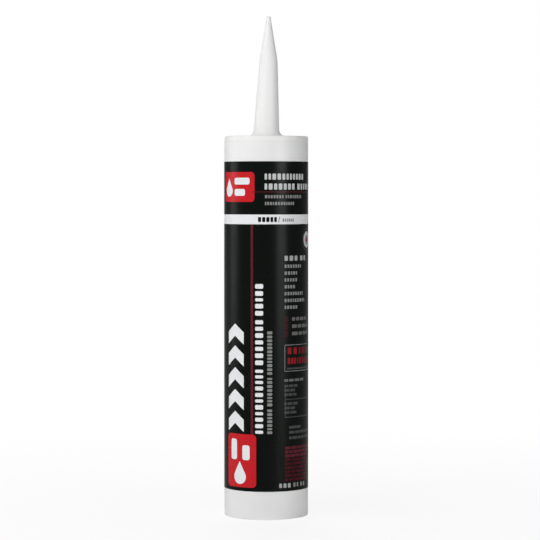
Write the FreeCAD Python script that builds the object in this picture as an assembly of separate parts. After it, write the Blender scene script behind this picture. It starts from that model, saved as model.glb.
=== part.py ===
import FreeCAD, Part
import math
import os

# A filled sealant cartridge of the standard 10.1 fl oz (299 ml) gun size, standing on its open rear end.
# A plastic barrel carries a moulded head whose tapered nozzle is still closed at the tip. A foil disc
# seals the head from below, the paste fills the barrel, and a ribbed plunger closes the rear and slides
# forward when a gun pushes it. A printed label is wrapped round the barrel, with its lap at the back.
# Millimetres. The origin is the centre of the rear rim, +Z runs up the axis to the nozzle, and the
# front of the label faces -Y.

# Barrel, an extruded tube
barrel_diameter = 50.0
barrel_wall = 1.3
barrel_length = 223.0
rim_edge_radius = 0.3
relief_depth = 18.0  # wider mouth at the rear, where the plunger is put in
relief_step = 0.4
relief_taper_length = 2.0

# Head, one moulding of flange, spigot and nozzle
flange_thickness = 3.0
flange_edge_radius = 0.8
seam_chamfer = 0.2  # on both sides of the weld between flange and barrel
plate_thickness = 2.2
spigot_length = 8.0
spigot_wall = 1.6
spigot_clearance = 0.05

# Nozzle, two tapers that bend into each other at a knee, leaning a little to +X
nozzle_base_diameter = 15.7
nozzle_base_fillet = 4.4
knee_height = 45.0
knee_diameter = 10.7
knee_shift = 1.45
knee_bend = 4.0  # the length over which one taper turns into the other
knee_bend_steps = 4
nozzle_height = 71.4
tip_diameter = 2.4
tip_flat_diameter = 0.6
tip_shift = 1.35
nozzle_wall = 1.3
closed_tip_length = 6.0
tip_bore_diameter = 1.8

# Foil disc under the nozzle's bore
foil_lap = 3.4  # past the bore's edge, where it is bonded
foil_thickness = 0.12

# Plunger, a moulded cup with two sealing lips
plunger_recess = 31.0  # from the rear rim to the plunger's rear edge
plunger_skirt_height = 14.0
plunger_clearance = 0.08
plunger_wall = 1.6
plunger_front_thickness = 1.8
lip_height = 2.4
lip_stand = 0.7
nose_clearance = 0.5
nose_draft = 1.0
nose_edge_radius = 1.5
rib_count = 8
rib_thickness = 1.2
rib_height = 3.5  # behind the front wall
hub_diameter = 11.0
hub_wall = 1.4

# Paste
paste_clearance = 0.1  # to the barrel and the spigot
paste_gap = 0.3  # to the plunger

# Label, a wrap with a lap
label_rear_margin = 16.6
label_front_margin = 12.1
label_thickness = 0.07
label_glue = 0.08  # between the barrel and the film
lap_width = 6.0
lap_angle = 62.0  # of the lap's middle, from +X towards +Y, in degrees

# Radii and heights that follow from them
barrel_radius = barrel_diameter / 2
bore_radius = barrel_radius - barrel_wall
shoulder_z = barrel_length + flange_thickness
plate_under_z = shoulder_z - plate_thickness
spigot_radius = bore_radius - spigot_clearance
spigot_bore = spigot_radius - spigot_wall
spigot_end_z = barrel_length - spigot_length
nozzle_base_radius = nozzle_base_diameter / 2
nozzle_bore_radius = nozzle_base_radius - nozzle_wall
paste_top_z = plate_under_z - foil_thickness
lip_radius = bore_radius - plunger_clearance
skirt_radius = lip_radius - lip_stand
skirt_top_z = plunger_recess + plunger_skirt_height
nose_radius = spigot_bore - nose_clearance
nose_top_radius = nose_radius - nose_draft
nose_top_z = skirt_top_z + paste_top_z - spigot_end_z - nose_clearance
plunger_travel = spigot_end_z - skirt_top_z - nose_clearance
label_height = barrel_length - label_rear_margin - label_front_margin

# How closely an edge must match the height and the width by which it is looked for
height_tolerance = 0.01
width_tolerance = 0.05


def cylinder(radius, low, high):
    return Part.makeCylinder(radius, high - low, FreeCAD.Vector(0, 0, low))


def cone(low_radius, high_radius, low, high):
    return Part.makeCone(low_radius, high_radius, high - low, FreeCAD.Vector(0, 0, low))


def level_edges(shape, height, reach):
    """The edges that lie at one height and are as wide as a circle of the radius reach."""
    found = []
    for edge in shape.Edges:
        box = edge.BoundBox
        level = max(abs(box.ZMin - height), abs(box.ZMax - height)) < height_tolerance
        if level and abs(box.XLength - 2 * reach) < width_tolerance:
            found.append(edge)
    return found


def barrel():
    """The tube, with a rounded rear rim and a wider mouth that tapers back to the bore."""
    tube = cylinder(barrel_radius, 0, barrel_length)
    tube = tube.makeFillet(rim_edge_radius, level_edges(tube, 0, barrel_radius))
    tube = tube.makeChamfer(seam_chamfer, level_edges(tube, barrel_length, barrel_radius))
    mouth_radius = bore_radius + relief_step
    taper_start = relief_depth - relief_taper_length
    return tube.cut(
        [
            cylinder(bore_radius, 0, barrel_length),
            cylinder(mouth_radius, 0, taper_start),
            cone(mouth_radius, bore_radius, taper_start, relief_depth),
        ]
    )


def along_nozzle(height, base, knee, tip):
    """A size of the nozzle at a height: straight from base to knee and on to the tip, bent at the knee."""
    low_slope = (knee - base) / knee_height
    high_slope = (tip - knee) / (nozzle_height - knee_height)
    into_bend = min(max(height - knee_height + knee_bend / 2, 0), knee_bend)
    past_bend = max(height - knee_height - knee_bend / 2, 0)
    turned = into_bend ** 2 / (2 * knee_bend) + past_bend
    return base + low_slope * height + (high_slope - low_slope) * turned


def nozzle_section(height, radius):
    """A circle across the nozzle, shifted as the nozzle leans at that height above the shoulder."""
    shift = along_nozzle(max(height, 0), 0, knee_shift, tip_shift)
    centre = FreeCAD.Vector(shift, 0, shoulder_z + height)
    return Part.Wire([Part.Circle(centre, FreeCAD.Vector(0, 0, 1), radius).toShape()])


def nozzle_outside():
    """Two tapers with a bend between them, rounded at the closed tip and rooted inside the head's plate."""
    heights = [0]
    for step in range(knee_bend_steps + 1):
        heights.append(knee_height + knee_bend * (step / knee_bend_steps - 0.5))
    heights.append(nozzle_height)
    sections = [nozzle_section(-plate_thickness / 2, nozzle_base_radius)]
    for height in heights:
        radius = along_nozzle(height, nozzle_base_radius, knee_diameter / 2, tip_diameter / 2)
        sections.append(nozzle_section(height, radius))
    solid = Part.makeLoft(sections, True, True)
    tip = level_edges(solid, shoulder_z + nozzle_height, tip_diameter / 2)
    return solid.makeFillet((tip_diameter - tip_flat_diameter) / 2, tip)


def nozzle_inside():
    """The bore, from the plate's underside to the stop below the closed tip."""
    sections = [
        nozzle_section(-plate_thickness, nozzle_bore_radius),
        nozzle_section(0, nozzle_bore_radius),
        nozzle_section(knee_height, knee_diameter / 2 - nozzle_wall),
        nozzle_section(nozzle_height - closed_tip_length, tip_bore_diameter / 2),
    ]
    return Part.makeLoft(sections, True, True)


def nozzle_head():
    """Flange, spigot and nozzle in one moulding, with a fillet where the nozzle leaves the shoulder."""
    flange = cylinder(barrel_radius, barrel_length, shoulder_z)
    flange = flange.makeFillet(flange_edge_radius, level_edges(flange, shoulder_z, barrel_radius))
    flange = flange.makeChamfer(seam_chamfer, level_edges(flange, barrel_length, barrel_radius))
    spigot = cylinder(spigot_radius, spigot_end_z, plate_under_z)
    head = flange.fuse([spigot, nozzle_outside()]).removeSplitter()
    root = level_edges(head, shoulder_z, nozzle_base_radius)
    head = head.makeFillet(nozzle_base_fillet, root)
    return head.cut([cylinder(spigot_bore, spigot_end_z, plate_under_z), nozzle_inside()])


def foil_seal():
    """The disc that is bonded under the plate, over the nozzle's bore."""
    return cylinder(nozzle_bore_radius + foil_lap, paste_top_z, plate_under_z)


def sealing_lip(low):
    """A ring that stands out from the skirt, tapered on its lower side."""
    taper = cone(skirt_radius, lip_radius, low, low + lip_height / 2)
    return taper.fuse(cylinder(lip_radius, low + lip_height / 2, low + lip_height))


def plunger_ribs(hollow, low, high):
    """A hub and the ribs from it to the hollow's wall, against which the gun's disc pushes."""
    hub_radius = hub_diameter / 2
    hub = cylinder(hub_radius, low, high).cut(cylinder(hub_radius - hub_wall, low, high))
    ribs = []
    for number in range(rib_count):
        start = FreeCAD.Vector(hub_radius - hub_wall / 2, -rib_thickness / 2, low)
        rib = Part.makeBox(skirt_radius - start.x, rib_thickness, high - low, start)
        rib.rotate(FreeCAD.Vector(0, 0, 0), FreeCAD.Vector(0, 0, 1), 360 * number / rib_count)
        ribs.append(rib)
    return hub.fuse(ribs).common(hollow)


def plunger():
    """The cup: a skirt with a lip at each end, a nose that fits the spigot, and ribs behind its face."""
    nose = cone(nose_radius, nose_top_radius, skirt_top_z, nose_top_z)
    nose = nose.makeFillet(nose_edge_radius, level_edges(nose, nose_top_z, nose_top_radius))
    outside = cylinder(skirt_radius, plunger_recess, skirt_top_z).fuse(
        [sealing_lip(plunger_recess), sealing_lip(skirt_top_z - lip_height), nose]
    )
    face_z = nose_top_z - plunger_front_thickness
    ledge_z = skirt_top_z - plunger_wall
    in_skirt = cylinder(skirt_radius - plunger_wall, plunger_recess, ledge_z)
    in_nose = cone(nose_radius - plunger_wall, nose_top_radius - plunger_wall, ledge_z, face_z)
    hollow = in_skirt.fuse(in_nose)
    ribs = plunger_ribs(hollow, face_z - rib_height, face_z)
    return outside.cut(hollow).fuse(ribs).removeSplitter()


def paste_fill():
    """The paste between the plunger and the foil, with a socket for the plunger's nose."""
    in_barrel = cylinder(bore_radius - paste_clearance, skirt_top_z + paste_gap, spigot_end_z)
    in_spigot = cylinder(spigot_bore - paste_clearance, spigot_end_z, paste_top_z)
    socket = cone(
        nose_radius + paste_gap,
        nose_top_radius + paste_gap,
        skirt_top_z,
        nose_top_z + paste_gap,
    )
    return in_barrel.fuse(in_spigot).cut(socket).removeSplitter()


def label():
    """The wrap, two layers thick where its end laps over its start."""
    inner_radius = barrel_radius + label_glue
    outer_radius = inner_radius + label_thickness
    lap_radius = outer_radius + label_thickness
    half_turn = math.degrees(lap_width / outer_radius) / 2
    start = FreeCAD.Vector(0, 0, label_rear_margin)
    up = FreeCAD.Vector(0, 0, 1)
    wrap = Part.makeCylinder(outer_radius, label_height, start, up)
    lap = Part.makeCylinder(lap_radius, label_height, start, up, 2 * half_turn)
    lap.rotate(FreeCAD.Vector(0, 0, 0), up, lap_angle - half_turn)
    hole = Part.makeCylinder(inner_radius, label_height, start, up)
    return wrap.fuse(lap).cut(hole).removeSplitter()


def main():
    os.makedirs("parts", exist_ok=True)
    nodes = {
        "barrel": barrel(),
        "nozzle_head": nozzle_head(),
        "foil_seal": foil_seal(),
        "plunger": plunger(),
        "paste_fill": paste_fill(),
        "label": label(),
    }
    for name, shape in nodes.items():
        shape.exportStep("parts/" + name + ".step")
        count = len(shape.Solids)
        print(name, "solids", count, "valid", shape.isValid(), "volume", round(shape.Volume, 1))
    print("plunger travel", round(plunger_travel, 2), "plunger nose top", round(nose_top_z, 2))


main()
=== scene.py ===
import math
import random

import bpy
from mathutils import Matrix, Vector
from mathutils.geometry import delaunay_2d_cdt


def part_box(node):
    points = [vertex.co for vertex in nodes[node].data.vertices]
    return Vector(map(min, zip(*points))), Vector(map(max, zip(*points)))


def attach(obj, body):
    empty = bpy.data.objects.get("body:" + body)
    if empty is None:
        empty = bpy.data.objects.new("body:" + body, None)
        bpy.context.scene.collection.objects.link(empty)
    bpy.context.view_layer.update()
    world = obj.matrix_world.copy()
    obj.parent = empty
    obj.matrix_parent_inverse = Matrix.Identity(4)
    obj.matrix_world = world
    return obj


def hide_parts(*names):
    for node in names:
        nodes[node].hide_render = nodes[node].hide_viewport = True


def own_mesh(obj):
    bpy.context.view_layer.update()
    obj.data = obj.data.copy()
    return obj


# The looks of a sealant cartridge: a printed film round a white barrel, a white head with a tapered
# nozzle, the paste, the foil and the plunger. Metres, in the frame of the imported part. The film's
# artwork is laid out flat in millimetres: "along" runs round the barrel from the front line towards
# +X, and "up" is the height above the rear rim.

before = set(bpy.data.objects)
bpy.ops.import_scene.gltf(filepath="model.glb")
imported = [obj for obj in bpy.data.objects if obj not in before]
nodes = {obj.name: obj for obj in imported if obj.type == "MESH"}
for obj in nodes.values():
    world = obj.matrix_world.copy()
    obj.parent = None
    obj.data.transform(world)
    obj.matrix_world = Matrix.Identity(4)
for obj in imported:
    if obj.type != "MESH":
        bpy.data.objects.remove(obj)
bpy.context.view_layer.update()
MM = 0.001


def placed(name, data):
    """A new object in the scene that holds data, which is a mesh, a lamp or a camera."""
    thing = bpy.data.objects.new(name, data)
    bpy.context.scene.collection.objects.link(thing)
    return thing


# Materials


class Nodes:
    """A short way to build the node tree of one material. Sizes and distances are in metres."""

    def __init__(self, name):
        self.material = bpy.data.materials.new(name)
        self.material.use_nodes = True
        self.tree = self.material.node_tree
        self.shader = self.tree.nodes["Principled BSDF"]
        self.coords = self.add("ShaderNodeTexCoord").outputs["Object"]

    def add(self, kind, **values):
        node = self.tree.nodes.new(kind)
        for key, value in values.items():
            setattr(node, key, value)
        return node

    def link(self, source, target):
        self.tree.links.new(source, target)

    def noise(self, size, detail=2, stretch=(1, 1, 1)):
        """Noise whose features are about size across, and longer along an axis with a low stretch."""
        mapping = self.add("ShaderNodeMapping")
        mapping.inputs["Scale"].default_value = stretch
        self.link(self.coords, mapping.inputs["Vector"])
        node = self.add("ShaderNodeTexNoise")
        node.inputs["Scale"].default_value = 1 / size
        node.inputs["Detail"].default_value = detail
        self.link(mapping.outputs["Vector"], node.inputs["Vector"])
        return node.outputs["Fac"]

    def ranged(self, value, low, high, start=0.3, end=0.7):
        """Low where value is at start or under it, high where it is at end or over it."""
        node = self.add("ShaderNodeMapRange")
        node.inputs["From Min"].default_value = start
        node.inputs["From Max"].default_value = end
        node.inputs["To Min"].default_value = low
        node.inputs["To Max"].default_value = high
        self.link(value, node.inputs["Value"])
        return node.outputs["Result"]

    def relief(self, *layers):
        """The normal of bumps laid over each other, each a pattern and its depth."""
        normal = None
        for pattern, depth in layers:
            node = self.add("ShaderNodeBump")
            node.inputs["Distance"].default_value = depth
            self.link(pattern, node.inputs["Height"])
            if normal is not None:
                self.link(normal, node.inputs["Normal"])
            normal = node.outputs["Normal"]
        return normal

    def finish(self, colour, roughness, normal, metallic=0.0, specular=0.5):
        """The material, with its roughness and normal taken from those two sockets."""
        self.shader.inputs["Base Color"].default_value = (*colour, 1)
        self.shader.inputs["Metallic"].default_value = metallic
        self.shader.inputs["Specular IOR Level"].default_value = specular
        self.link(roughness, self.shader.inputs["Roughness"])
        self.link(normal, self.shader.inputs["Normal"])
        return self.material


def extruded_plastic():
    """Satin white tube with faint draw lines along it."""
    n = Nodes("extruded_plastic")
    lines = n.noise(size=0.0006, detail=3, stretch=(1, 1, 0.02))
    grain = n.noise(size=0.00025)
    soft = n.noise(size=0.012, stretch=(1, 1, 0.3))
    normal = n.relief((lines, 0.000012), (grain, 0.000006), (soft, 0.00006))
    roughness = n.ranged(soft, low=0.33, high=0.42)
    return n.finish((0.84, 0.845, 0.84), roughness, normal)


def moulded_plastic():
    """Satin white moulding with a fine spark texture and slight sinks."""
    n = Nodes("moulded_plastic")
    spark = n.noise(size=0.0003, detail=3)
    sinks = n.noise(size=0.006, stretch=(1, 1, 0.5))
    normal = n.relief((spark, 0.00001), (sinks, 0.00006))
    roughness = n.ranged(sinks, low=0.36, high=0.46)
    return n.finish((0.87, 0.873, 0.865), roughness, normal)


def plunger_plastic():
    """Satin natural moulding, a little coarser and yellower than the head."""
    n = Nodes("plunger_moulding")
    spark = n.noise(size=0.0004, detail=3)
    sinks = n.noise(size=0.004)
    normal = n.relief((spark, 0.000015), (sinks, 0.00008))
    roughness = n.ranged(sinks, low=0.34, high=0.48)
    return n.finish((0.8, 0.8, 0.775), roughness, normal)


def crinkled_foil():
    n = Nodes("crinkled_foil")
    creases = n.noise(size=0.0025, detail=4)
    normal = n.relief((creases, 0.0002))
    roughness = n.ranged(creases, low=0.18, high=0.34)
    return n.finish((0.78, 0.78, 0.8), roughness, normal, metallic=1.0)


def smooth_paste():
    n = Nodes("smooth_paste")
    swirl = n.noise(size=0.006, detail=3)
    normal = n.relief((swirl, 0.0003))
    roughness = n.ranged(swirl, low=0.28, high=0.42)
    return n.finish((0.8, 0.79, 0.76), roughness, normal)


def film(name, colour):
    """One ink of the printed film: glossy, with a little orange peel and faint roll lines."""
    n = Nodes("film_" + name)
    peel = n.noise(size=0.0011)
    roll_lines = n.noise(size=0.0015, stretch=(1, 1, 0.05))
    soft = n.noise(size=0.02, detail=3)
    normal = n.relief((peel, 0.000006), (roll_lines, 0.000008), (soft, 0.00008))
    roughness = n.ranged(soft, low=0.25, high=0.32)
    return n.finish(colour, roughness, normal, specular=0.12)


# Artwork of the film, in millimetres


INKS = {
    "black": (0.0034, 0.0052, 0.004),
    "white": (0.8, 0.815, 0.83),
    "pale": (0.55, 0.565, 0.565),
    "soft": (0.4, 0.405, 0.4),
    "silver": (0.25, 0.252, 0.25),
    "ash": (0.14, 0.142, 0.138),
    "grey": (0.065, 0.068, 0.067),
    "red": (0.56, 0.014, 0.021),
    "dull_red": (0.29, 0.012, 0.018),
    "deep_red": (0.16, 0.009, 0.014),
    "dark_red": (0.115, 0.014, 0.021),
    "wine": (0.06, 0.005, 0.008),
    "brown": (0.032, 0.006, 0.008),
}

# The seed of every uneven width and length
SEED = 11

# The widths of beads and the space between rows of them, and the lengths of bars, before they are
# scaled to the room that they have
BEAD_WIDTHS = (0.62, 0.8, 0.8, 0.92)
ROW_SPACE = 0.9
SHORTEST_BAR = 2.4
LONGEST_BAR = 5.5

# Corner radii as shares of the height of a row
BEAD_CORNER = 0.14
BAR_CORNER = 0.3

# A side is at least this many corner radii long, so that its two arcs stay apart
CORNERS_IN_A_SIDE = 2.001


class Artwork:
    """Flat shapes on the film, each with its ink. A later shape covers an earlier one."""

    def __init__(self):
        self.shapes = []
        self.source = random.Random(SEED)

    def polygon(self, ink, points):
        """A closed outline, kept so that it runs anticlockwise."""
        turn = 0.0
        for (a, b), (c, d) in zip(points, points[1:] + points[:1]):
            turn += a * d - c * b
        self.shapes.append((ink, points if turn > 0 else points[::-1]))

    def block(self, ink, left, right, low, high, corner=0.0, steps=5):
        """An upright rectangle with rounded corners."""
        corner = min(corner, min(right - left, high - low) / CORNERS_IN_A_SIDE)
        if corner <= 0:
            self.polygon(ink, [(left, low), (right, low), (right, high), (left, high)])
            return
        centres = [
            (right - corner, low + corner),
            (right - corner, high - corner),
            (left + corner, high - corner),
            (left + corner, low + corner),
        ]
        points = []
        for number, (x, y) in enumerate(centres):
            for step in range(steps + 1):
                angle = math.radians(90 * (number - 1) + 90 * step / steps)
                points.append((x + corner * math.cos(angle), y + corner * math.sin(angle)))
        self.polygon(ink, points)

    def disc(self, ink, along, up, radius, steps=40):
        """A round shape about a middle."""
        points = []
        for step in range(steps):
            angle = 2 * math.pi * step / steps
            points.append((along + radius * math.cos(angle), up + radius * math.sin(angle)))
        self.polygon(ink, points)

    def drop(self, ink, along, up, radius, tip=2.1, shoulder=30, steps=28):
        """A disc below its shoulders, in degrees, and above them a point that is tip radii high."""
        points = [(along, up + tip * radius)]
        for step in range(steps + 1):
            angle = math.radians(180 - shoulder + (180 + 2 * shoulder) * step / steps)
            points.append((along + radius * math.cos(angle), up + radius * math.sin(angle)))
        self.polygon(ink, points)

    def chevron(self, ink, left, right, foot, rise, thickness):
        """A bar bent upwards at its middle."""
        middle = (left + right) / 2
        lower = [(left, foot), (middle, foot + rise), (right, foot)]
        upper = [(along, up + thickness) for along, up in reversed(lower)]
        self.polygon(ink, lower + upper)

    def bar(self, ink, start, end, middle, height, corner, steps, upright=False):
        """A block on the line middle, which runs up the film where upright is true."""
        low, high = middle - height / 2, middle + height / 2
        if upright:
            self.block(ink, low, high, start, end, corner * height, steps)
        else:
            self.block(ink, start, end, low, high, corner * height, steps)

    def beads(self, ink, start, end, middle, height, counts, gap=0.36, upright=False):
        """Rows of small blocks on one line, each row with as many as counts says."""
        rows = [[self.source.choice(BEAD_WIDTHS) for _ in range(count)] for count in counts]
        filled = sum(sum(row) + gap * (len(row) - 1) for row in rows)
        scale = (end - start) / (filled + ROW_SPACE * (len(rows) - 1))
        place = start
        for row in rows:
            for width in row:
                after = place + width * scale
                self.bar(ink, place, after, middle, height, BEAD_CORNER, steps=3, upright=upright)
                place += (width + gap) * scale
            place += (ROW_SPACE - gap) * scale

    def bars(self, ink, start, end, middle, height, gap):
        """Bars of uneven length on one line, which they fill."""
        lengths = []
        left = end - start
        while left > 0:
            length = self.source.uniform(SHORTEST_BAR, LONGEST_BAR)
            lengths.append(length)
            left -= length + gap
        room = end - start - gap * (len(lengths) - 1)
        total = sum(lengths)
        place = start
        for length in lengths:
            size = room * length / total
            self.bar(ink, place, place + size, middle, height, BAR_CORNER, steps=4)
            place += size + gap


def draw_band(art, left, right):
    """The white band round the barrel, with two rows of beads and a slanted stroke on it."""
    art.block("white", left, right, low=174.0, high=179.7)
    art.beads("black", start=-4.8, end=6.4, middle=176.8, height=2.9, counts=[5], gap=0.28)
    art.polygon("black", [(7.2, 175.1), (7.6, 175.1), (8.4, 178.5), (8.0, 178.5)])
    art.beads("silver", start=9.9, end=17.6, middle=176.4, height=1.9, counts=[6])


def draw_upper_badge(art):
    """A red badge with a drop and two bars on it."""
    art.block("red", left=-31.9, right=-6.9, low=187.1, high=204.7, corner=2.2)
    art.drop("white", along=-26.2, up=193.6, radius=3.5)
    art.block("white", left=-20.9, right=-10.0, low=197.3, high=201.3, corner=1.2)
    art.block("white", left=-20.9, right=-13.0, low=190.7, high=194.7, corner=1.2)


def draw_heading(art):
    """Two large rows and two small ones beside the upper badge, with a thin rule between them."""
    art.beads("pale", start=-0.9, end=26.4, middle=201.9, height=3.6, counts=[11])
    art.beads("pale", start=-0.9, end=33.6, middle=196.1, height=3.6, counts=[7, 5])
    art.block("dark_red", left=-8.5, right=36.0, low=192.75, high=193.15)
    art.beads("silver", start=-0.7, end=24.2, middle=190.2, height=1.9, counts=[7, 8])
    art.beads("silver", start=-0.7, end=17.9, middle=186.2, height=1.9, counts=[12])


def draw_upright_rows(art):
    """The long rule, with a row of chevrons on its left and two rows of beads on its right."""
    art.block("dark_red", left=-9.3, right=-7.8, low=50.0, high=174.0)
    lowest, pitch = 51.6, 12.9
    for number in range(5):
        foot = lowest + pitch * number
        art.chevron("white", left=-27.0, right=-13.9, foot=foot, rise=5.0, thickness=7.2)
    art.beads(
        "white", start=50.9, end=139.0, middle=-4.15, height=4.8, counts=[11, 7, 5], gap=0.48, upright=True
    )
    art.beads("silver", start=50.8, end=111.2, middle=2.1, height=3.0, counts=[7, 8, 12], upright=True)


def draw_lower_badge(art):
    """A red badge with a drop and two upright bars on it."""
    art.block("red", left=-27.6, right=-5.9, low=18.8, high=50.3, corner=2.4)
    art.drop("white", along=-16.9, up=25.0, radius=4.4)
    art.block("white", left=-23.9, right=-19.0, low=35.0, high=47.2, corner=1.4)
    art.block("white", left=-14.9, right=-10.0, low=35.0, high=43.8, corner=1.4)


def draw_rings(art):
    """Plain rings about one middle, near the right edge of the front."""
    radii = {"grey": 6.7, "black": 6.3, "pale": 4.9, "silver": 2.7, "dull_red": 1.5}
    for ink, radius in radii.items():
        art.disc(ink, along=31.9, up=164.8, radius=radius)


def draw_column(art):
    """A column of short rows under a larger one, and three rows with a block before each."""
    left, first, pitch, bead_pitch = 11.2, 149.3, 4.02, 1.85
    art.beads("soft", left, end=29.2, middle=154.0, height=3.0, counts=[3, 2], gap=0.42)
    for number, count in enumerate([7, 5, 5, 4, 8, 9, 5]):
        end = left + bead_pitch * count
        art.beads("silver", left, end, middle=first - pitch * number, height=2.0, counts=[count])
    left, first, pitch, half_block = 16.3, 118.2, 4.3, 1.9
    for number, length in enumerate([14.5, 17.5, 16.5]):
        middle = first - pitch * number
        low, high = middle - half_block, middle + half_block
        art.block("brown", left=10.9, right=13.7, low=low, high=high, corner=0.3)
        art.bars("ash", start=left, end=left + length, middle=middle, height=2.1, gap=0.7)


def draw_framed_rows(art):
    """Two large rows in a thin frame, over a bar."""
    art.block("silver", left=11.2, right=35.0, low=87.3, high=103.1, corner=0.6)
    art.block("black", left=11.55, right=34.65, low=87.65, high=102.75, corner=0.4)
    art.beads("dull_red", start=13.3, end=20.2, middle=99.4, height=4.0, counts=[2])
    art.beads("deep_red", start=21.9, end=33.9, middle=99.4, height=4.0, counts=[4])
    art.beads("dull_red", start=13.3, end=19.5, middle=93.5, height=3.8, counts=[3], gap=0.25)
    art.beads("deep_red", start=20.3, end=33.9, middle=93.5, height=3.8, counts=[6], gap=0.25)
    art.block("grey", left=12.9, right=33.9, low=88.5, high=89.5)


def draw_small_rows(art):
    """Groups of thin rows with rules between them, and a larger row at the foot."""
    art.bars("ash", start=11.0, end=26.9, middle=82.1, height=1.6, gap=0.6)
    art.block("grey", left=11.4, right=11.9, low=60.0, high=78.0)
    pitch, rule_low, rule_high = 2.58, -8.2, -7.7
    for first in (78.8, 68.3):
        for number, end in enumerate([21.1, 18.7, 19.9]):
            middle = first - pitch * number
            art.bars("grey", start=11.0, end=end, middle=middle, height=1.6, gap=0.4)
        art.block("grey", left=11.4, right=36.0, low=first + rule_low, high=first + rule_high)
    art.block("grey", left=14.3, right=23.8, low=53.5, high=55.1, corner=0.4)
    for middle in (51.3, 48.0):
        art.bars("grey", start=14.3, end=35.0, middle=middle, height=1.6, gap=0.4)
    first, pitch, longest, shorter = 42.2, 2.35, 34.0, 1.1
    for number, ink in enumerate(["dark_red"] * 3 + ["wine"] * 6):
        end = longest - shorter * (number % 4)
        art.bars(ink, start=11.5, end=end, middle=first - pitch * number, height=1.7, gap=0.4)
    art.beads("soft", start=7.9, end=15.4, middle=20.0, height=2.6, counts=[3], gap=0.5)
    art.beads("silver", start=17.4, end=28.0, middle=20.1, height=2.6, counts=[2, 2], gap=0.5)


def draw_artwork(left, right, low, high):
    """The whole film, black to its edges, with the front as the photograph lays it out."""
    art = Artwork()
    art.block("black", left, right, low, high)
    draw_band(art, left, right)
    draw_upper_badge(art)
    draw_heading(art)
    draw_upright_rows(art)
    draw_lower_badge(art)
    draw_rings(art)
    draw_column(art)
    draw_framed_rows(art)
    draw_small_rows(art)
    return art.shapes


# The film itself, in millimetres and degrees


# The radius is that of the printed side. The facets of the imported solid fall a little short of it
FILM_RADIUS = 25.15
FILM_THICKNESS = 0.07
LAP_GAP = 0.005
LAP_WIDTH = 6.0
LAP_MIDDLE = 152.0
LAP_HALF_ANGLE = math.degrees(LAP_WIDTH / 2 / FILM_RADIUS)

# The film rises over its own start within this angle, and its columns are this far apart
RAMP_ANGLE = 2.0
RAMP_STEPS = 4
COLUMN_ANGLE = 3

# Half the stretch over which the ramp's slope is measured
SLOPE_REACH = 0.01

# How near points are taken to be one, and how near the film's edge they are taken to be on it
MERGED = 1e-4
ON_EDGE = 1e-3

# The kind of triangulation that keeps only what is inside the outlines
INSIDE = 1

# The film's map: start and width of each stretch, and the radii of the ovals for its thin edges
PRINTED_ACROSS = (0.01, 0.88)
GLUED_ACROSS = (0.905, 0.06)
BOTH_UP = (0.01, 0.98)
EDGES_ACROSS = 0.985
EDGES_UP = (0.1, 0.8)
EDGE_RADII = (0.005, 0.003)


def within(stretch, share):
    """The place that lies share of the way along a stretch."""
    start, width = stretch
    return start + width * share


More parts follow.
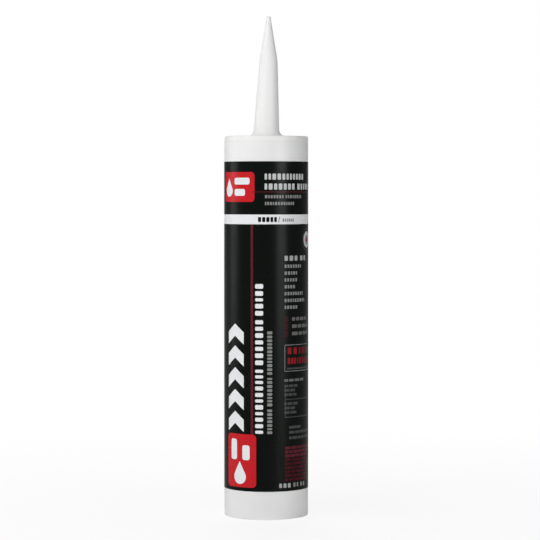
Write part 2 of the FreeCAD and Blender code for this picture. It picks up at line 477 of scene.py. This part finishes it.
class Film:
    """One strip of film, wound once round the barrel so that its end laps over its start."""

    def __init__(self):
        low_corner, high_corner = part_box("label")
        self.radius = -low_corner.x / MM
        self.low, self.high = low_corner.z / MM, high_corner.z / MM
        self.degree = self.radius * math.pi / 180
        self.lap_start = LAP_MIDDLE - LAP_HALF_ANGLE
        start, end = self.lap_start - 360, LAP_MIDDLE + LAP_HALF_ANGLE
        self.left, self.right = start * self.degree, end * self.degree
        count = int((end - start) // COLUMN_ANGLE) + 1
        angles = [start + COLUMN_ANGLE * number for number in range(count)]
        angles += [end, end - 360]
        for step in range(1, RAMP_STEPS + 1):
            angles.append(self.lap_start - RAMP_ANGLE * step / RAMP_STEPS)
        self.angles = sorted(set(round(angle, 6) for angle in angles))
        self.vertices, self.faces, self.slots = [], [], []
        self.normals, self.places = [], []
        self.add_printed_side()
        self.add_glued_side()
        self.add_thin_edges()

    def lift(self, angle):
        """How far the film stands off the glue, which is its own thickness and a gap at the lap."""
        share = min(max((angle - self.lap_start + RAMP_ANGLE) / RAMP_ANGLE, 0), 1)
        return (FILM_THICKNESS + LAP_GAP) * share * share * (3 - 2 * share)

    def slope(self, angle):
        """How steeply the film rises at angle."""
        rise = self.lift(angle + SLOPE_REACH) - self.lift(angle - SLOPE_REACH)
        return rise / (2 * SLOPE_REACH * self.degree)

    def spot(self, angle, up, printed):
        """A point of the film, in metres. At the lap, the gap is taken out of the film."""
        if printed:
            reach = self.radius + min(self.lift(angle), FILM_THICKNESS)
        else:
            reach = self.radius - FILM_THICKNESS + self.lift(angle)
        turn = math.radians(angle)
        return Vector((reach * math.sin(turn), -reach * math.cos(turn), up)) * MM

    def facing(self, angle, printed):
        """The normal of the printed or the glued side."""
        turn = math.radians(angle)
        out = Vector((math.sin(turn), -math.cos(turn), 0))
        if not printed:
            return -out
        side = Vector((math.cos(turn), math.sin(turn), 0))
        return (out - side * self.slope(angle)).normalized()

    def add_face(self, corners, ink, normals, places):
        """One face, with a normal and a place in the map for each corner."""
        self.faces.append(corners)
        self.slots.append(list(INKS).index(ink))
        self.normals += normals
        self.places += places

    def printed_place(self, point):
        """Where a point of the printed side lies in the map."""
        along = (point.x - self.left) / (self.right - self.left)
        up = (point.y - self.low) / (self.high - self.low)
        return within(PRINTED_ACROSS, along), within(BOTH_UP, up)

    def add_printed_side(self):
        """The printed side, cut along every column and along the outline of every shape."""
        points, edges, outlines, inks = [], [], [], []
        for angle in self.angles:
            edges.append((len(points), len(points) + 1))
            along = angle * self.degree
            points += [Vector((along, self.low)), Vector((along, self.high))]
        for ink, outline in draw_artwork(self.left, self.right, self.low, self.high):
            outlines.append(list(range(len(points), len(points) + len(outline))))
            points += [Vector(point) for point in outline]
            inks.append(ink)
        laid = delaunay_2d_cdt(points, edges, outlines, INSIDE, MERGED)
        self.laid_flat, _, cells, _, _, owners = laid
        for point in self.laid_flat:
            self.vertices.append(self.spot(point.x / self.degree, point.y, printed=True))
        for cell, owner in zip(cells, owners):
            if not owner:
                continue
            corners = [self.laid_flat[index] for index in cell]
            normals = [self.facing(point.x / self.degree, printed=True) for point in corners]
            places = [self.printed_place(point) for point in corners]
            self.add_face(list(cell), inks[max(owner)], normals, places)

    def add_glued_side(self):
        """The glued side, one face for each column. Its vertices are low and high by turns."""
        self.glued_low = []
        for angle in self.angles:
            self.glued_low.append(len(self.vertices))
            for up in (self.low, self.high):
                self.vertices.append(self.spot(angle, up, printed=False))
        for number in range(len(self.angles) - 1):
            here, after = self.glued_low[number], self.glued_low[number + 1]
            normals, places = [], []
            for column, up in ((number, 0), (number, 1), (number + 1, 1), (number + 1, 0)):
                normals.append(self.facing(self.angles[column], printed=False))
                across = within(GLUED_ACROSS, column / len(self.angles))
                places.append((across, within(BOTH_UP, up)))
            self.add_face([here, here + 1, after + 1, after], "white", normals, places)

    def add_thin_edges(self):
        """The four thin edges, which join the vertices of both sides."""
        columns = [angle * self.degree for angle in self.angles]
        glued_high = [index + 1 for index in self.glued_low]
        both_ends = [self.low, self.high]
        first_column = [self.glued_low[0], glued_high[0]]
        last_column = [self.glued_low[-1], glued_high[-1]]
        for axis, place, marks, glued, reverse in (
            ("y", self.low, columns, self.glued_low, True),
            ("x", self.left, both_ends, first_column, False),
            ("y", self.high, columns, glued_high, False),
            ("x", self.right, both_ends, last_column, True),
        ):
            other = "x" if axis == "y" else "y"
            rim = []
            for index, point in enumerate(self.laid_flat):
                if abs(getattr(point, axis) - place) < ON_EDGE:
                    rim.append((getattr(point, other), index))
            rim.sort()
            for number in range(len(marks) - 1):
                low, high = marks[number] - ON_EDGE, marks[number + 1] + ON_EDGE
                loop = [index for mark, index in rim if low <= mark <= high]
                loop += [glued[number + 1], glued[number]]
                if reverse:
                    loop = loop[::-1]
                self.add_edge_face(loop, number / len(marks))

    def add_edge_face(self, loop, share):
        """A flat face of a thin edge, mapped as a small oval."""
        a, b, c = (self.vertices[loop[corner]] for corner in (0, 1, -1))
        normal = (b - a).cross(c - a).normalized()
        wide, tall = EDGE_RADII
        places = []
        for corner in range(len(loop)):
            turn = 2 * math.pi * corner / len(loop)
            up = within(EDGES_UP, share) + tall * math.sin(turn)
            places.append((EDGES_ACROSS + wide * math.cos(turn), up))
        self.add_face(loop, "black", [normal] * len(loop), places)

    def piece(self):
        """The film as an object, with a material for each ink."""
        mesh = bpy.data.meshes.new("label_film")
        mesh.from_pydata([tuple(vertex) for vertex in self.vertices], [], self.faces)
        for name, colour in INKS.items():
            mesh.materials.append(film(name, colour))
        mesh.polygons.foreach_set("material_index", self.slots)
        layer = mesh.uv_layers.new(name="OFBake")
        for loop, place in zip(layer.data, self.places):
            loop.uv = place
        mesh.validate()
        mesh.normals_split_custom_set([tuple(normal) for normal in self.normals])
        return placed("label_film", mesh)


label = Film().piece()
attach(label, "barrel")
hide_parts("label")


# Turned pieces, with their outlines in millimetres


SHARP_ANGLE = 35


def turned(name, outline, material, steps=96):
    """A closed ring or disc turned about the barrel's axis from its outline."""
    vertices, faces = [], []
    rings = []
    for radius, height in outline:
        if radius == 0:
            rings.append([len(vertices)])
            vertices.append((0, 0, height * MM))
            continue
        ring = []
        for step in range(steps):
            angle = 2 * math.pi * step / steps
            ring.append(len(vertices))
            vertices.append((radius * math.cos(angle) * MM, radius * math.sin(angle) * MM, height * MM))
        rings.append(ring)
    pairs = list(zip(rings, rings[1:]))
    if len(rings[0]) > 1:
        pairs.append((rings[-1], rings[0]))
    for lower, upper in pairs:
        for step in range(steps):
            after = (step + 1) % steps
            if len(lower) == 1:
                faces.append([lower[0], upper[after], upper[step]])
            elif len(upper) == 1:
                faces.append([lower[step], lower[after], upper[0]])
            else:
                faces.append([lower[step], lower[after], upper[after], upper[step]])
    mesh = bpy.data.meshes.new(name)
    mesh.from_pydata(vertices, [], faces)
    mesh.shade_smooth()
    mesh.set_sharp_from_angle(angle=math.radians(SHARP_ANGLE))
    mesh.materials.append(material)
    return placed(name, mesh)


# The paste is a core that the plunger's nose pushes and a ring that its skirt pushes, neither of which
# cuts into the head's spigot. The core is hollowed by the nose.
paste_low, paste_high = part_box("paste_fill")
PASTE_TOP = paste_high.z / MM
PASTE_FOOT = paste_low.z / MM
SPIGOT_END = 215.0
NOSE_TOP = 53.48
NOSE_TOP_RADIUS = 20.85
NOSE_FOOT_RADIUS = 21.85
CORE_RADIUS = 21.88
RING_INSIDE = 21.92
RING_OUTSIDE = 23.6

paste_material = smooth_paste()
core_outline = [
    (0, NOSE_TOP),
    (NOSE_TOP_RADIUS, NOSE_TOP),
    (NOSE_FOOT_RADIUS, PASTE_FOOT),
    (CORE_RADIUS, PASTE_FOOT),
    (CORE_RADIUS, PASTE_TOP),
    (0, PASTE_TOP),
]
ring_outline = [
    (RING_INSIDE, PASTE_FOOT),
    (RING_OUTSIDE, PASTE_FOOT),
    (RING_OUTSIDE, SPIGOT_END),
    (RING_INSIDE, SPIGOT_END),
]
core = turned("paste_core", core_outline, paste_material)
ring = turned("paste_ring", ring_outline, paste_material)
for piece in (core, ring):
    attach(piece, "barrel")
    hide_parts("paste_fill")
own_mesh(core)
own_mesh(ring)

# The parts that the solids already show
for name, material in {
    "barrel": extruded_plastic(),
    "nozzle_head": moulded_plastic(),
    "foil_seal": crinkled_foil(),
    "plunger": plunger_plastic(),
}.items():
    data = nodes[name].data
    for index in range(len(data.materials)):
        data.materials[index] = material


# Stage, lights and camera, in metres


# Strength of the world as light on the object
FILL_STRENGTH = 0.13

# Reflections see a studio of this shade, which fades to white behind the object, between these
# two values of a direction's Y
STUDIO_SHADE = 0.12
FADE_START, FADE_END = 0.9, 0.975

# The floor glows, at full strength to the camera and at this one in reflections. The glow's share
# of its look is the least near the object, and grows to 1 between these distances from the axis
FLOOR_SHADE = 0.3
FLOOR_LEAST_GLOW = 0.86
FLOOR_FADE = (0.08, 0.5)
FLOOR_RADIUS = 12.0
FLOOR_STEPS = 64

# Width of the rim's outer edge that stands on the floor, round the opening under the bore
RIM_EDGE = 0.0003

# The height that the lamps point at
AIM_HEIGHT = 0.14


def ray_kind(tree, *names):
    """1 for the kinds of ray that names lists, and 0 for the others, such as rays that carry light."""
    path = tree.nodes.new("ShaderNodeLightPath")
    total = path.outputs[names[0]]
    for name in names[1:]:
        most = tree.nodes.new("ShaderNodeMath")
        most.operation = "MAXIMUM"
        tree.links.new(total, most.inputs[0])
        tree.links.new(path.outputs[name], most.inputs[1])
        total = most.outputs[0]
    return total


def make_world():
    """White to the camera, a studio that is grey in front for reflections, and a dim fill for light."""
    world = bpy.data.worlds.new("studio")
    bpy.context.scene.world = world
    world.use_nodes = True
    tree = world.node_tree
    tree.nodes.clear()
    coords = tree.nodes.new("ShaderNodeTexCoord")
    split = tree.nodes.new("ShaderNodeSeparateXYZ")
    tree.links.new(coords.outputs["Generated"], split.inputs[0])
    shade = tree.nodes.new("ShaderNodeMapRange")
    shade.interpolation_type = "SMOOTHSTEP"
    shade.inputs["From Min"].default_value = FADE_START
    shade.inputs["From Max"].default_value = FADE_END
    shade.inputs["To Min"].default_value = STUDIO_SHADE
    shade.inputs["To Max"].default_value = 1.0
    tree.links.new(split.outputs["Y"], shade.inputs["Value"])

    def background(strength):
        node = tree.nodes.new("ShaderNodeBackground")
        node.inputs["Color"].default_value = (1, 1, 1, 1)
        node.inputs["Strength"].default_value = strength
        return node

    mirrored = background(1.0)
    tree.links.new(shade.outputs["Result"], mirrored.inputs["Strength"])
    result = background(FILL_STRENGTH)
    for kinds, layer in (
        (("Is Glossy Ray", "Is Transmission Ray"), mirrored),
        (("Is Camera Ray",), background(1.0)),
    ):
        mix = tree.nodes.new("ShaderNodeMixShader")
        tree.links.new(ray_kind(tree, *kinds), mix.inputs[0])
        tree.links.new(result.outputs[0], mix.inputs[1])
        tree.links.new(layer.outputs[0], mix.inputs[2])
        result = mix
    out = tree.nodes.new("ShaderNodeOutputWorld")
    tree.links.new(result.outputs[0], out.inputs["Surface"])


def floor_mesh():
    """A flat ring, open under the barrel's bore."""
    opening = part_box("barrel")[1].x - RIM_EDGE
    corners = []
    for radius in (opening, FLOOR_RADIUS):
        for step in range(FLOOR_STEPS):
            angle = 2 * math.pi * step / FLOOR_STEPS
            corners.append((radius * math.cos(angle), radius * math.sin(angle), 0))
    quads = []
    for step in range(FLOOR_STEPS):
        after = (step + 1) % FLOOR_STEPS
        quads.append([step, FLOOR_STEPS + step, FLOOR_STEPS + after, after])
    mesh = bpy.data.meshes.new("floor")
    mesh.from_pydata(corners, [], quads)
    return mesh


def floor_material():
    """Pale, with a white glow that leaves the object's shadow on it, and see-through from beneath."""
    n = Nodes("pale_floor")
    grain = n.noise(size=0.004, detail=3)
    roughness = n.ranged(grain, low=0.7, high=0.85)
    n.finish((0.86, 0.86, 0.86), roughness, n.relief((grain, 0.00004)), specular=0.2)

    length = n.add("ShaderNodeVectorMath", operation="LENGTH")
    n.link(n.coords, length.inputs[0])
    away = n.ranged(length.outputs["Value"], FLOOR_LEAST_GLOW, 1.0, *FLOOR_FADE)
    seen = n.add("ShaderNodeMath", operation="MULTIPLY")
    n.link(away, seen.inputs[0])
    watched = ray_kind(n.tree, "Is Camera Ray", "Is Glossy Ray", "Is Transmission Ray")
    n.link(watched, seen.inputs[1])
    white = n.add("ShaderNodeEmission")
    brightness = n.ranged(ray_kind(n.tree, "Is Camera Ray"), FLOOR_SHADE, 1.0, start=0.0, end=1.0)
    n.link(brightness, white.inputs["Strength"])
    upper = n.add("ShaderNodeMixShader")
    n.link(seen.outputs[0], upper.inputs[0])
    n.link(n.shader.outputs[0], upper.inputs[1])
    n.link(white.outputs[0], upper.inputs[2])

    side = n.add("ShaderNodeNewGeometry")
    clear = n.add("ShaderNodeBsdfTransparent")
    both = n.add("ShaderNodeMixShader")
    n.link(side.outputs["Backfacing"], both.inputs[0])
    n.link(upper.outputs[0], both.inputs[1])
    n.link(clear.outputs[0], both.inputs[2])
    n.link(both.outputs[0], n.tree.nodes["Material Output"].inputs["Surface"])
    return n.material


def softbox(name, azimuth, elevation, distance, size, radiance, mirrored=True):
    """A rectangular lamp aimed at the tube's middle. Azimuth runs from the camera's side to +X."""
    width, height = size
    lamp = bpy.data.lights.new(name, "AREA")
    lamp.shape = "RECTANGLE"
    lamp.size, lamp.size_y = width, height
    lamp.energy = radiance * math.pi * width * height
    lamp_object = placed(name, lamp)
    a, e = math.radians(azimuth), math.radians(elevation)
    back = Vector((math.sin(a) * math.cos(e), -math.cos(a) * math.cos(e), math.sin(e)))
    lamp_object.location = Vector((0, 0, AIM_HEIGHT)) + back * distance
    lamp_object.rotation_euler = back.to_track_quat("Z", "Y").to_euler()
    lamp_object.visible_camera = False
    lamp_object.visible_glossy = mirrored


def make_camera():
    """The photograph's place and angle of view."""
    camera = placed("camera", bpy.data.cameras.new("camera"))
    camera.location = (0.00227, -1.2807, 0.19108)
    camera.rotation_euler = (math.radians(88), 0, 0)
    camera.data.sensor_width = 36
    camera.data.lens = 142.93
    camera.data.clip_start = 0.05
    camera.data.clip_end = 100
    bpy.context.scene.camera = camera


make_world()
floor = placed("floor", floor_mesh())
floor.data.materials.append(floor_material())
softbox("left_box", azimuth=-98, elevation=4, distance=1.7, size=(0.8, 0.8), radiance=2.2)
softbox("right_box", azimuth=42, elevation=3, distance=1.7, size=(0.75, 0.8), radiance=4.8)
softbox("front_key", azimuth=-24, elevation=36, distance=1.1, size=(0.8, 0.8), radiance=2.5, mirrored=False)
softbox("left_key", azimuth=-62, elevation=34, distance=1.0, size=(0.8, 0.8), radiance=1.6, mirrored=False)
softbox("back_fill", azimuth=184, elevation=22, distance=1.3, size=(0.9, 0.9), radiance=4.8, mirrored=False)
softbox("under_fill", azimuth=0, elevation=-50, distance=1.0, size=(0.9, 0.9), radiance=2.4, mirrored=False)
make_camera()

bpy.context.scene.view_settings.view_transform = "Standard"
